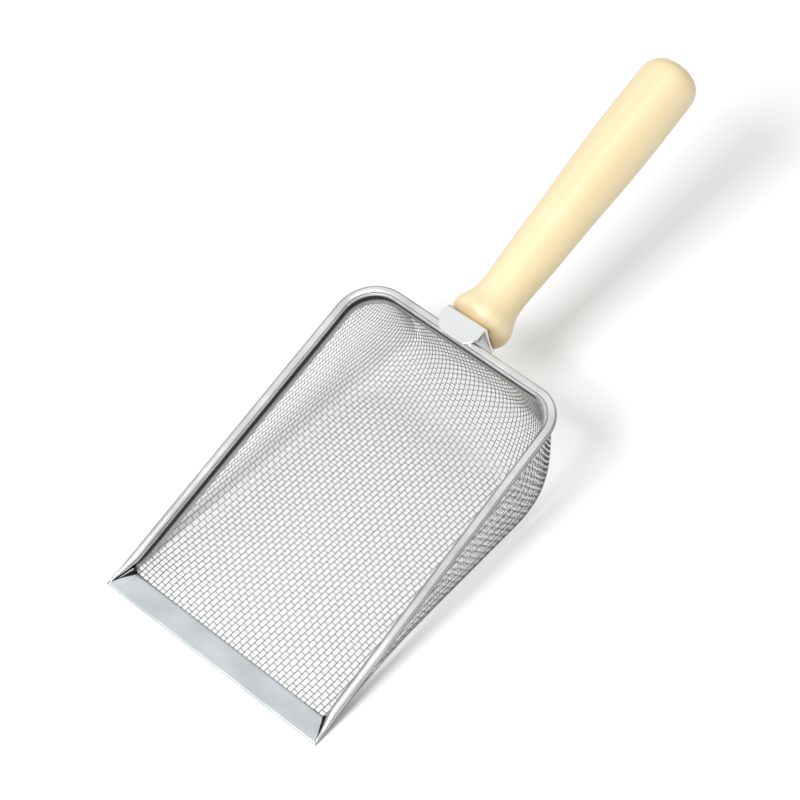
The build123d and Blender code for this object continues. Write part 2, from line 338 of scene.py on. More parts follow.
# ---- the cloth ------------------------------------------------------------------------------------------
@dataclass
class WireCloth:
    """The pan itself: plain-woven wire pressed into a pan with a flat floor and rounded heel.

    The cloth is a net of crossings whose two sets of wires keep their spacing. It is wrapped over the pan's
    floor and walls, and the net is then relaxed on that surface, so that it shears at the back corners as
    pressed cloth does.
    """

    pan: Pan
    # The weave: spacing and thickness of the wires, how far each set bends off the surface, and the lean
    # value that gives the straighter set its painted dark shade.
    cross_pitch: float = 2.55
    length_pitch: float = 2.02
    wire_radius: float = 0.145
    long_crimp: float = 0.05
    cross_crimp: float = 0.28
    painted_shade_lean: float = 0.12
    # The surface: floor and walls, and the rounds between them with the lengths over which they change.
    floor_height: float = 0.55
    inset: float = 2.4
    side_lean: float = math.radians(1.0)
    back_lean: float = math.radians(6.0)
    side_radius_front: float = 1.2
    side_radius_back: float = 11.5
    side_from: float = 6.0
    side_over: float = 62.0
    heel_radius: float = 29.0
    heel_from: float = 42.0
    heel_over: float = 44.0
    facing_over: float = 30.0
    deep_corner: float = 33.0
    deepest: float = 56.0
    # The net: where it starts and is cut off, its crossings each way, and how its wires become pieces.
    floor_half: float = 58.4
    margin: float = 34.0
    front_edge: float = 6.4
    trim_height: float = -1.5
    reach_across: int = 52
    reach_along: int = 128
    samples: int = 4
    sides: int = 6
    shares: int = 3
    # Its settling: rounds, the crossings that are held still, and how strongly each rule acts.
    first_rounds: int = 12
    rounds: int = 300
    held_half: int = 12
    held_rows: int = 45
    smoothing: float = 0.2
    stiffness: float = 0.04
    slack: float = 0.02
    least_diagonal: float = 0.8
    opening: float = 0.25
    longest_move: float = 2.0
    least_slope: float = 0.05

    def walls(self) -> tuple[np.ndarray, ...]:
        """The planes of the right side wall and the back wall, which lean in by their own angles.

        Returns:
            Origin and outward normal of the side wall, then of the back wall.
        """
        pan = self.pan
        side_o = pan.point(*(np.array(v) for v in (pan.width / 2 - self.inset, 0.0, 0.0)))
        run = pan.along * pan.length - X_AXIS * pan.side_taper
        down = -pan.normal * math.cos(self.side_lean) - X_AXIS * math.sin(self.side_lean)
        side_n = unit(np.cross(down, run))
        side_n = side_n * np.sign(side_n[0])
        back_o = pan.point(*(np.array(v) for v in (0.0, pan.length - self.inset, 0.0)))
        back_n = pan.along * math.cos(self.back_lean) - pan.normal * math.sin(self.back_lean)
        return side_o, side_n, back_o, back_n

    @staticmethod
    def rounded(first: np.ndarray, second: np.ndarray, radius: np.ndarray, cosine: np.ndarray) -> np.ndarray:
        """Distance to two planes joined by a round.

        With both distances raised by the radius to p and q, the distance is the larger of them less the
        radius, or, beyond both feet of the round, root((p^2 + q^2 - 2cpq) / (1 - c^2)) less the radius,
        where c is the cosine between the planes' normals.

        Args:
            first: Distance outside the first plane.
            second: Distance outside the second plane.
            radius: Radius of the round.
            cosine: Cosine between the two normals.

        Returns:
            The distance outside the joined surface.
        """
        p, q = first + radius, second + radius
        arc = np.sqrt(np.maximum(p * p + q * q - 2 * cosine * p * q, 0.0) / (1 - cosine * cosine))
        return np.where((p > cosine * q) & (q > cosine * p), arc, np.maximum(p, q)) - radius

    def distance(self, places: np.ndarray) -> np.ndarray:
        """Distance of points outside the cloth's middle surface.

        The side and back walls are joined by the corner's round, whose radius grows with the depth under the
        rim. Another round joins them to the floor: its radius grows from the lip on the sides and is the
        heel's own at the back.

        Args:
            places: Positions, [..., 3].

        Returns:
            The distances, negative inside the pan.
        """
        side_o, side_n, back_o, back_n = self.walls()
        mirrored = np.concatenate([np.abs(places[..., :1]), places[..., 1:]], axis=-1)
        side = (mirrored - side_o) @ side_n
        back = (places - back_o) @ back_n
        depth = np.clip((self.pan.lip_front - places) @ self.pan.normal, 0.0, self.deepest)
        corner = np.where(places[..., 0] > 0, self.pan.right_corner, self.pan.left_corner)
        corner = corner - self.inset
        corner = corner + (self.deep_corner - corner) * depth / self.deepest
        wall = self.rounded(side, back, corner, np.array(float(side_n @ back_n)))
        facing_back = smooth_step(0.5 + (back - side) / self.facing_over)
        near_back = smooth_step((back + self.heel_from) / self.heel_over)
        behind = 1.0 - (1.0 - facing_back) * (1.0 - near_back)
        grown = smooth_step((places[..., 1] + self.pan.lip_to_origin - self.side_from) / self.side_over)
        radius = self.side_radius_front + (self.side_radius_back - self.side_radius_front) * grown
        radius = radius * (1 - behind) + self.heel_radius * behind
        cosine = -(side_n[2] * (1 - behind) + back_n[2] * behind)
        return self.rounded(wall, self.floor_height - places[..., 2], radius, cosine)

    def slope(self, places: np.ndarray, step: float = 0.05) -> np.ndarray:
        """Gradient of the distance, by differences over a small step both ways along each axis.

        Args:
            places: Positions, [..., 3].
            step: The step.

        Returns:
            The gradients, [..., 3].
        """
        offsets = np.eye(3) * step
        ends = [self.distance(places + o) - self.distance(places - o) for o in offsets]
        return np.stack(ends, axis=-1) / (2 * step)

    def wrapped(self) -> np.ndarray:
        """The net laid on the floor and carried out from its core up the walls, [across, along, 3].

        The core is the floor less a margin. A crossing past it keeps its direction from the nearest point of
        the core, and its distance becomes a length of path: over the margin, round the heel, up the wall.

        Returns:
            First positions of the crossings.
        """
        back_o, back_n = self.walls()[2:]
        across = (np.arange(-self.reach_across, self.reach_across + 1)) * self.cross_pitch
        along = self.front_edge + np.arange(self.reach_along) * self.length_pitch
        u, v = np.meshgrid(across, along - self.pan.lip_to_origin, indexing="ij")
        core_x = self.floor_half - self.margin
        core_y = back_o[1] + (back_o[2] - self.floor_height) * back_n[2] / back_n[1] - self.margin
        near = np.stack([np.clip(u, -core_x, core_x), np.minimum(v, core_y)], axis=-1)
        offset = np.stack([u, v], axis=-1) - near
        path = np.linalg.norm(offset, axis=-1)
        heading = offset / np.maximum(path, TINY)[..., None]
        turn_r = self.side_radius_back + (self.heel_radius - self.side_radius_back) * heading[..., 1] ** 2
        flat = self.margin - turn_r
        angle = np.clip((path - flat) / turn_r, 0.0, math.pi / 2)
        out = np.minimum(path, flat) + turn_r * np.sin(angle)
        climb = turn_r * (1 - np.cos(angle)) + np.maximum(path - flat - turn_r * math.pi / 2, 0.0)
        plan = near + heading * out[..., None]
        return np.concatenate([plan, (self.floor_height + climb)[..., None]], axis=-1)

    def relaxed(self) -> np.ndarray:
        """The net after its wires have settled to their spacing on the pan's surface.

        Each round shortens the links that are too long, lets those that are too short out by a smaller
        share, opens any diagonal that is shorter than the wires allow, straightens every wire against its
        fourth difference, and returns the net to the surface by Newton's step.

        Returns:
            Positions of the crossings, [across, along, 3].
        """
        net = self.wrapped()
        for _ in range(self.first_rounds):
            net = self.settle(net)
        held = np.ones(net.shape[:2] + (1,))
        middle = self.reach_across
        held[middle - self.held_half:middle + self.held_half + 1, :self.held_rows] = 0.0
        for turn in range(self.rounds):
            ease = self.smoothing * max(0.0, 1.0 - turn / (0.5 * self.rounds))
            around = net[2:, 1:-1] + net[:-2, 1:-1] + net[1:-1, 2:] + net[1:-1, :-2]
            move = np.zeros_like(net)
            move[1:-1, 1:-1] = around / 4 - net[1:-1, 1:-1]
            bend = np.zeros_like(net)
            bend[2:-2] += np.diff(net, n=4, axis=0)
            bend[:, 2:-2] += np.diff(net, n=4, axis=1)
            net = net + held * (ease * move - self.stiffness * bend)
            for axis, pitch in ((0, self.cross_pitch), (1, self.length_pitch)):
                for odd in (0, 1):
                    self.pull(net, axis, odd, pitch)
            self.open_diagonals(net)
            net = self.settle(net)
        return net

    def pull(self, net: np.ndarray, axis: int, odd: int, pitch: float) -> None:
        """Bring every second link along one axis towards its pitch, moving both of its ends alike.

        Args:
            net: Crossings, changed in place.
            axis: Axis of the net that the links run along.
            odd: 0 for the first, third and fifth link and so on, 1 for the others.
            pitch: The links' proper length.
        """
        view = np.moveaxis(net, axis, 0)
        count = (view.shape[0] - odd) // 2
        first, second = view[odd:odd + 2 * count:2], view[odd + 1:odd + 2 * count:2]
        link = second - first
        size = lengths(link)
        shift = link * (np.where(size > pitch, 0.5, self.slack) * (size - pitch) / size)
        first += shift
        second -= shift

    def open_diagonals(self, net: np.ndarray) -> None:
        """Push apart the ends of each diagonal that is shorter than the wires' thickness allows.

        Args:
            net: Crossings, changed in place.
        """
        for near, far in ((net[:-1, :-1], net[1:, 1:]), (net[1:, :-1], net[:-1, 1:])):
            link = far - near
            size = lengths(link)
            shift = link * (self.opening * np.maximum(self.least_diagonal - size, 0.0) / size)
            near -= shift
            far += shift

    def settle(self, net: np.ndarray) -> np.ndarray:
        """One Newton step to the surface: each crossing moves by distance * slope / slope^2, within a limit.

        Args:
            net: Crossings.

        Returns:
            The crossings after the step.
        """
        slope = self.slope(net)
        share = self.distance(net) / np.maximum((slope * slope).sum(axis=-1), self.least_slope)
        move = share[..., None] * slope
        return net - move * np.minimum(1.0, self.longest_move / lengths(move))

    def wires(self, net: np.ndarray, normals: np.ndarray, run: Run) -> tuple[np.ndarray, ...]:
        """Tubes of all the wires of one set.

        A wire runs straight from crossing to crossing. It is lifted off the surface by its crimp times
        cos(pi * s), where s counts crossings and starts one later on every second wire, and the other set is
        lifted the other way, so each wire passes over one and under the next.

        Args:
            net: Crossings, [across, along, 3].
            normals: The surface's normals there.
            run: Which set of wires.

        Returns:
            Rings [wire, sample, side, 3], the height of each sample above the rim's plane, and the pattern
            coordinates of each sample: length along the wire in metres, and its lean from 0 where it climbs
            most to 1 where it falls most, which sets the wire's painted light and shade. A lengthways wire
            hardly leans, and is given a low value all along, which paints it dark.
        """
        lengthways = run is Run.LENGTHWAYS
        nodes = net if lengthways else np.swapaxes(net, 0, 1)
        ups = normals if lengthways else np.swapaxes(normals, 0, 1)
        crimp = self.long_crimp if lengthways else -self.cross_crimp
        count = (nodes.shape[1] - 1) * self.samples + 1
        s = np.arange(count) / self.samples
        whole = np.minimum(s.astype(int), nodes.shape[1] - 2)
        part = (s - whole)[None, :, None]
        line = nodes[:, whole] * (1 - part) + nodes[:, whole + 1] * part
        up = unit(ups[:, whole] * (1 - part) + ups[:, whole + 1] * part)
        phase = math.pi * (s[None, :] + np.arange(nodes.shape[0])[:, None])
        lift = crimp * np.cos(phase)
        centre = line + up * lift[..., None]
        heading = unit(np.gradient(centre, axis=1))
        across = unit(np.cross(heading, up))
        above = np.cross(across, heading)
        angle = ring_angles(self.sides)
        ring = (np.cos(angle)[:, None] * above[..., None, :] + np.sin(angle)[:, None] * across[..., None, :])
        rings = centre[..., None, :] + self.wire_radius * ring
        height = (centre - self.pan.lip_front) @ self.pan.normal
        # the lean sets the painted light and shade; lengthways wires get a fixed low value, painted dark
        lean = np.full_like(phase, self.painted_shade_lean) if lengthways else 0.5 - 0.5 * np.sin(phase)
        pitch = self.length_pitch if lengthways else self.cross_pitch
        length = np.broadcast_to(s[None, :] * pitch * MM, lean.shape)
        return rings, height, np.stack([length, lean], axis=-1)

    def wire_set(self, rings: np.ndarray, height: np.ndarray, pattern: np.ndarray, name: str,
                 material: bpy.types.Material) -> bpy.types.Object:
        """One piece made of some wires, cut off under the rim's bead.

        Args:
            rings: Rings of these wires, [wire, sample, side, 3].
            height: Height of each sample above the rim's plane.
            pattern: Pattern coordinates of each sample.
            name: Name of the piece.
            material: Its material.

        Returns:
            The piece.
        """
        wires, count, sides = rings.shape[:3]
        inside = height < self.trim_height
        step = inside[:, :-1] & inside[:, 1:]
        offset = (np.arange(wires) * count * sides)[:, None, None, None]
        body = (tube_faces(count, sides)[None] + offset)[step].reshape(-1, 4)
        before = np.pad(step, ((0, 0), (1, 0)))
        after = np.pad(step, ((0, 0), (0, 1)))
        cap = cap_faces(sides)
        ring_start = (np.arange(wires)[:, None] * count + np.arange(count)[None, :]) * sides
        opens = ring_start[after & ~before][:, None, None] + cap[None, :, ::-1]
        closes = ring_start[before & ~after][:, None, None] + cap[None]
        faces = np.vstack([body, opens.reshape(-1, 4), closes.reshape(-1, 4)])
        used, number = np.unique(faces, return_inverse=True)
        faces = number.reshape(-1, 4)
        points = rings.reshape(-1, 3)[used]
        coords = np.broadcast_to(pattern[:, :, None, :], rings.shape[:3] + (2,)).reshape(-1, 2)[used]
        return make_piece(name, points, outward(points, faces), coords, material)

    def build(self, material: bpy.types.Material) -> list[bpy.types.Object]:
        """Weave the cloth.

        Args:
            material: The wire's material.

        Returns:
            The pieces, each a share of one set of wires.
        """
        net = self.relaxed()
        normals = unit(self.slope(net))
        pieces = []
        for run in Run:
            rings, height, pattern = self.wires(net, normals, run)
            for share, wires in enumerate(np.array_split(np.arange(len(rings)), self.shares)):
                name = f"cloth_{run.value}_{share + 1}"
                pieces.append(self.wire_set(rings[wires], height[wires], pattern[wires], name, material))
        for piece in pieces:
            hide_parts("mesh_basket")
        return pieces


# ---- the rim --------------------------------------------------------------------------------------------
@dataclass
class Rim:
    """The rolled bead and the flat band under it, one strip of sheet round three sides of the pan."""

    pan: Pan
    sheet: float = 0.6
    start: float = 1.2
    sides: int = 28
    bead_radius: float = 2.4
    # Each end of the bead thins to a tip, which is raised a little to clear the lip.
    tip_radius: float = 0.75
    tip_length: float = 17.0
    tip_raise: float = 0.9
    tip_raise_length: float = 9.0
    # The band: where it starts, how deep and how far in it hangs, and the length over which it moves in.
    band_start: float = 4.6
    band_top: float = 1.2
    band_top_share: float = 0.4
    band_least: float = 0.2
    band_height: float = 7.4
    band_inset: float = 2.9
    band_inset_start: float = 1.3
    band_slant: float = 1.5
    band_over: float = 14.0
    lip_top: float = 1.5
    side_lean: float = math.radians(1.0)
    back_lean: float = math.radians(6.0)
    # Pattern coordinates round the section at which the band and the gussets begin, past the bead's own. They
    # decide the band's painted shade, and the gussets' mark lies wholly in the near black painted shade.
    band_mark: float = 20.0
    gusset_painted_shade_mark: float = 20.5
    # A gusset's two lines, from their front to their back end: the low one as distance off the middle, depth
    # behind the lip's front and height, the high one in the rim's own directions.
    gusset_low: tuple[tuple[float, float], ...] = ((62.1, 55.7), (0.0, 12.4), (1.42, 1.52))
    gusset_high: tuple[tuple[float, float], ...] = ((62.0, 59.4), (1.0, 16.0), (-0.2, -1.7))
    gusset_length: float = 13.0

    def bead(self, shell: Shell) -> None:
        """The bead: a circle of the bead's radius carried along the rim, its outer side on the outline.

        Its radius eases from the tip's at both ends to the full one over the tip's length.

        Args:
            shell: Where the surface is added.
        """
        places, normals, run = self.pan.outline(self.start)
        near_end = np.minimum(run, run[-1] - run)
        grown = smooth_step(near_end / self.tip_length)
        radius = self.tip_radius + (self.bead_radius - self.tip_radius) * grown
        raised = self.tip_raise * (1 - smooth_step(near_end / self.tip_raise_length))
        angle = ring_angles(self.sides)
        out = radius[:, None] * (np.cos(angle) - 1)[None, :]
        height = radius[:, None] * np.sin(angle)[None, :] + raised[:, None]
        rings = self.pan.beside(places, normals, out, height)
        shell.add_tube(rings, run * MM, angle * self.bead_radius * MM)

    def band(self, shell: Shell) -> None:
        """The band: a thin strip that hangs from under the bead and slants inwards a little.

        Its section is a slip with half-round edges: down one face, round the lower edge, up the other face
        and round the upper edge. The lower edge rises to the lip's level near both ends.

        Args:
            shell: Where the surface is added.
        """
        places, normals, run = self.pan.outline(self.band_start)
        lean = self.side_lean + (self.back_lean - self.side_lean) * smooth_step(normals[:, 1])
        room = (places[:, 1] * math.sin(self.pan.pitch) - self.lip_top) / math.cos(self.pan.pitch)
        depth = np.clip(room, self.band_least, self.band_height)
        top = -np.minimum(self.band_top, self.band_top_share * depth)[:, None]
        edge = self.sheet / 2
        face = np.linspace(0, 1, 7)
        turn = np.linspace(0, math.pi, 5)[1:-1]
        flat, bent = np.ones_like(face), np.ones_like(turn)
        down = np.concatenate([face, bent, face[::-1], 0 * bent])
        swell = np.concatenate([0 * flat, np.sin(turn), 0 * flat, -np.sin(turn)])
        side = np.concatenate([-flat, -np.cos(turn), flat, np.cos(turn)])
        around = np.concatenate([face, 1.05 * bent, 2.1 - face, 2.15 * bent]) * self.band_height
        height = top - (depth[:, None] + top) * down[None, :] - edge * swell[None, :]
        grown = smooth_step((places[:, 1] - self.band_start) / self.band_over)[:, None]
        slant = self.band_slant * down[None, :] * grown
        inset = self.band_inset_start + (self.band_inset - self.band_inset_start) * grown
        out = -inset - slant + edge * side[None, :] + height * np.tan(lean)[:, None]
        rings = self.pan.beside(places, normals, out, height)
        shell.add_tube(rings, run * MM, (around + self.band_mark) * MM)

    def gussets(self, shell: Shell) -> None:
        """The strip's triangular ends, one at each front corner.

        Each is a thin plate between two straight lines that start together at the corner: one follows the
        lip's cut end along its top, the other climbs to the bead's underside.

        Args:
            shell: Where the surfaces are added.
        """
        t = np.linspace(0.04, 1, 9)
        low_x, low_y, low_z = (front + (back - front) * t for front, back in self.gusset_low)
        high_x, high_along, high_z = (front + (back - front) * t for front, back in self.gusset_high)
        for side in (-1.0, 1.0):
            low = np.stack([side * low_x, low_y - self.pan.lip_to_origin, low_z], axis=-1)
            high = self.pan.point(side * high_x, high_along, high_z)
            facing = unit(np.cross(unit(high - low), np.gradient(low, axis=0))) * self.sheet / 4
            rings = np.stack([low - facing, high - facing, high + facing, low + facing], axis=1)
            # the gussets' pattern mark paints them near black as shade
            shell.add_tube(rings, t * self.gusset_length * MM, np.full(4, self.gusset_painted_shade_mark * MM))

    def build(self, material: bpy.types.Material) -> bpy.types.Object:
        """Make the rim strip.

        Args:
            material: The sheet's material.

        Returns:
            The piece.
        """
        shell = Shell()
        self.bead(shell)
        self.band(shell)
        self.gussets(shell)
        piece = shell.build("rim_bead_and_band", Slot.SHEET, material)
        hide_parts("rim_strip")
        return piece


# ---- the lip --------------------------------------------------------------------------------------------
@dataclass
class Lip:
    """The folded strip across the pan's front, with ends cut back and turned up a little to the bead."""

    pan: Pan
    depth: float = 12.2
    mitre: float = 6.5
    under_depth: float = 5.6
    sheet: float = 0.6
    cloth: float = 0.9
    edge_bulge: float = 0.12
    edge_round: float = 0.15
    end_from: float = 0.9
    end_lift: float = 1.1
    end_length: float = 7.5
    lift_depth: float = 8.0

    def section(self) -> np.ndarray:
        """The strip's section (distance behind the front edge, height), as a closed loop.

        The outer line runs back under, round the nose and over the top; the inner line returns one sheet
        thickness inside it.

        Returns:
            The loop's points in order.
        """
        top = self.cloth + self.sheet
        outer_r = top / 2
        inner_r = outer_r - self.sheet
        turn = np.linspace(-math.pi / 2, -3 * math.pi / 2, 13)
        circle = np.stack([np.cos(turn), np.sin(turn)], axis=-1)
        edge_y = self.depth + self.edge_bulge
        straight = np.linspace(outer_r, self.depth, 10)
        over = np.stack([straight[1:], np.full(9, top)], axis=-1)
        edge = [[edge_y, top - self.edge_round], [edge_y, top - self.sheet + self.edge_round]]
        back = np.stack([straight[:0:-1], np.full(9, outer_r + inner_r)], axis=-1)
        under = [[self.under_depth, self.sheet], [self.under_depth, 0.0]]
        nose, throat = outer_r + outer_r * circle, outer_r + inner_r * circle[::-1]
        return np.vstack([nose, over, edge, back, throat, under])

    def build(self, material: bpy.types.Material) -> bpy.types.Object:
        """Make the lip: its section carried across the pan, scaled to the mitred half width at each depth.

        Its ends rise by the lift times the smooth step of the distance into the last few millimetres, times
        the smooth step of the depth behind the front edge.

        Args:
            material: The sheet's material.

        Returns:
            The piece.
        """
        loop = self.section()
        end = np.linspace(self.end_from, 1, 9)
        share = np.concatenate([-end[::-1], np.linspace(-self.end_from, self.end_from, 61)[1:-1], end])
        half = self.pan.width / 2 - self.mitre * loop[:, 0] / self.depth
        x = share[:, None] * half[None, :]
        reach = np.abs(x) - (self.pan.width / 2 - self.end_length)
        lift = (self.end_lift * smooth_step(reach / self.end_length)
                * smooth_step(loop[None, :, 0] / self.lift_depth))
        y = np.broadcast_to(loop[None, :, 0] - self.pan.lip_to_origin, x.shape)
        rings = np.stack([x, y, loop[None, :, 1] + lift], axis=-1)
        shell = Shell()
        shell.add_tube(rings, share * self.pan.width / 2 * MM, run_length(loop) * MM)
        piece = shell.build("lip_folded_strip", Slot.SHEET, material)
        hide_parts("front_lip")
        return piece


# ---- the bracket ----------------------------------------------------------------------------------------
@dataclass
class Bracket:
    """The folded strap: a tongue on the rim's bead and a plate behind the pan that the handle sits on."""

    pan: Pan
    centre_x: float = -4.4
    width: float = 21.6
    sheet: float = 1.5
    front: float = 178.6
    back: float = 191.0
    drop: float = 24.5
    lean: float = math.radians(6.0)
    corner: float = 6.5
    bend_radius: float = 1.75
    tongue_height: float = 3.15
    edge_round: float = 0.35

    def centre_line(self) -> tuple[np.ndarray, ...]:
        """The strap's middle line (along, height) from the tongue's front over the fold to the plate's foot.

        Two straight runs are joined by an arc tangent to both.

        Returns:
            Points, unit normals on the outer side of the fold, and lengths from the front.
        """
        turn = math.pi / 2 + self.lean
        r = self.bend_radius
        tangent = r * math.tan(turn / 2)
        fold_start = np.array([self.back - self.sheet / 2 - tangent, self.tongue_height])
        angle = math.pi / 2 - turn * np.linspace(0, 1, 15)
        arc_n = np.stack([np.cos(angle), np.sin(angle)], axis=-1)
        arc = fold_start - np.array([0.0, r]) + r * arc_n
        down = np.array([-math.sin(self.lean), -math.cos(self.lean)])
        plate = (self.drop + self.tongue_height) / math.cos(self.lean) - tangent
        ease = (1 - np.cos(np.linspace(0, math.pi / 2, 18))) * self.corner
        t = np.unique(np.concatenate([ease, np.linspace(self.corner, fold_start[0] - self.front, 5)]))
        tongue = np.stack([self.front + t, np.full_like(t, self.tongue_height)], axis=-1)[:-1]
        low = np.unique(np.concatenate([plate - ease, np.linspace(0, plate - self.corner, 8)]))[1:]
        foot = arc[-1] + low[:, None] * down
        places = np.vstack([tongue, arc, foot])
        tongue_n = np.tile([0.0, 1.0], (len(tongue), 1))
        normals = np.vstack([tongue_n, arc_n, np.tile(arc_n[-1], (len(foot), 1))])
        return places, normals, run_length(places)

    def build(self, material: bpy.types.Material) -> bpy.types.Object:
        """Make the strap: a slip with rounded edges carried along the middle line.

        Its half width w eases in at both ends by the corner radius R: w = W/2 - R + root(R^2 - (R - s)^2)
        within R of an end.

        Args:
            material: The bracket's material.

        Returns:
            The piece.
        """
        places, normals, run = self.centre_line()
        from_end = np.minimum(run, run[-1] - run)
        inside = np.clip(self.corner - from_end, 0.0, self.corner)
        half = self.width / 2 - self.corner + np.sqrt(self.corner ** 2 - inside ** 2)
        e = self.edge_round
        right = math.pi / 2
        quarter = np.linspace(0, right, 4)
        flat = np.linspace(-1, 1, 13)[1:-1]
        level = np.zeros_like(flat)
        turn = np.concatenate([quarter, right + level, right + quarter,
                               2 * right + quarter, 3 * right + level, 3 * right + quarter])
        side = np.concatenate([np.ones(4), -flat, -np.ones(8), flat, np.ones(4)])
        over = np.repeat([1.0, -1.0], len(side) // 2)
        x = self.centre_x + side[None, :] * (half - e)[:, None] + e * np.cos(turn)[None, :]
        lift = over[None, :] * (self.sheet / 2 - e) + e * np.sin(turn)[None, :]
        along = places[:, None, 0] + lift * normals[:, None, 0]
        height = places[:, None, 1] + lift * normals[:, None, 1]
        shell = Shell()
        around = np.linspace(0, 2 * self.width, x.shape[1])
        shell.add_tube(self.pan.point(x, along, height), run * MM, around * MM)
        piece = shell.build("bracket_strap", Slot.SHEET, material)
        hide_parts("handle_bracket")
        return piece


# ---- the handle -----------------------------------------------------------------------------------------
@dataclass
class Handle:
    """The turned wooden handle, with a flared foot, a slim neck and a full grip."""

    pan: Pan
    centre_x: float = -4.4
    drop: float = 12.0
    seat: float = 189.4
    length: float = 155.0
    lean: float = math.radians(6.0)
    sides: int = 96
    # Distance from the seat and radius along the turned part, then the rounded end.
    stations: tuple[tuple[float, float], ...] = (
        (0.0, 12.3), (2.6, 14.1), (6.0, 15.15), (9.0, 14.75), (12.0, 13.5), (15.5, 12.1), (19.5, 11.4),
        (25.0, 11.3), (34.0, 11.75), (43.0, 12.2), (58.0, 12.65), (73.0, 13.1), (98.0, 14.15), (120.0, 14.5),
        (143.0, 14.35))
    dome_start: float = 143.0
    dome_power: float = 2.4
    dome_tip: float = 0.05
    # Radii of the rings that close the foot, and the length over which it follows the plate's lean.
    foot_rings: tuple[float, ...] = (0.2, 4.0, 8.0, 11.0, 11.9, 12.25)
    foot_length: float = 14.0
    pattern_radius: float = 14.0

    def radius(self, s: np.ndarray) -> np.ndarray:
        """Radius at distances from the seat.

        Up to the dome it is the smooth cubic curve through the stations; over the dome it is
        (1 - t^2.4)^(1/2.4) of the dome's first radius, with t the share of the dome passed.

        Args:
            s: Distances from the seat, in millimetres.

        Returns:
            The radii.
        """
        at, size = np.array(self.stations).T
        gap = np.diff(at)
        system = np.eye(len(at))
        inner = np.arange(1, len(at) - 1)
        system[inner, inner - 1] = gap[:-1]
        system[inner, inner] = 2 * (gap[:-1] + gap[1:])
        system[inner, inner + 1] = gap[1:]
        rise = np.zeros(len(at))
        rise[1:-1] = 6 * np.diff(np.diff(size) / gap)
        bend = np.linalg.solve(system, rise)
        k = np.clip(np.searchsorted(at, s) - 1, 0, len(gap) - 1)
        a, b = at[k + 1] - s, s - at[k]
        h = gap[k]
        turned = ((bend[k] * a ** 3 + bend[k + 1] * b ** 3) / (6 * h) + (size[k] / h - bend[k] * h / 6) * a
                  + (size[k + 1] / h - bend[k + 1] * h / 6) * b)
        t = np.clip((s - self.dome_start) / (self.length - self.dome_start), 0.0, 1.0)
        dome = size[-1] * (1 - t ** self.dome_power) ** (1 / self.dome_power)
        return np.where(s < self.dome_start, turned, dome)

    def build(self, material: bpy.types.Material) -> bpy.types.Object:
        """Turn the handle: a circle of the station's radius carried along the axis, its foot on the plate.

        Near the foot, a point is moved along the axis by its height over it times the tangent of the
        plate's lean, which fades out over the foot's length.

        Args:
            material: The wood's material.

        Returns:
            The piece.
        """
        body = np.concatenate([np.linspace(0.0, 30.0, 46)[1:], np.linspace(30.0, self.dome_start, 60)[1:]])
        dome = self.dome_start + (self.length - self.dome_start) * np.sin(np.linspace(0, math.pi / 2, 26))[1:]
        s = np.concatenate([np.zeros(len(self.foot_rings)), body, dome])
        r = np.concatenate([self.foot_rings, self.radius(body), self.radius(dome)])
        r[-1] = self.dome_tip
        angle = ring_angles(self.sides)
        x = self.centre_x + r[:, None] * np.cos(angle)[None, :]
        rise = r[:, None] * np.sin(angle)[None, :]
        tilt = rise * math.tan(self.lean) * (1 - smooth_step(s / self.foot_length))[:, None]
        rings = self.pan.point(x, self.seat + s[:, None] + tilt, rise - self.drop)
        shell = Shell()
        shell.add_tube(rings, s * MM, angle * self.pattern_radius * MM)
        piece = shell.build("handle_turned", Slot.WOOD, material)
        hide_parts("handle")
        return piece


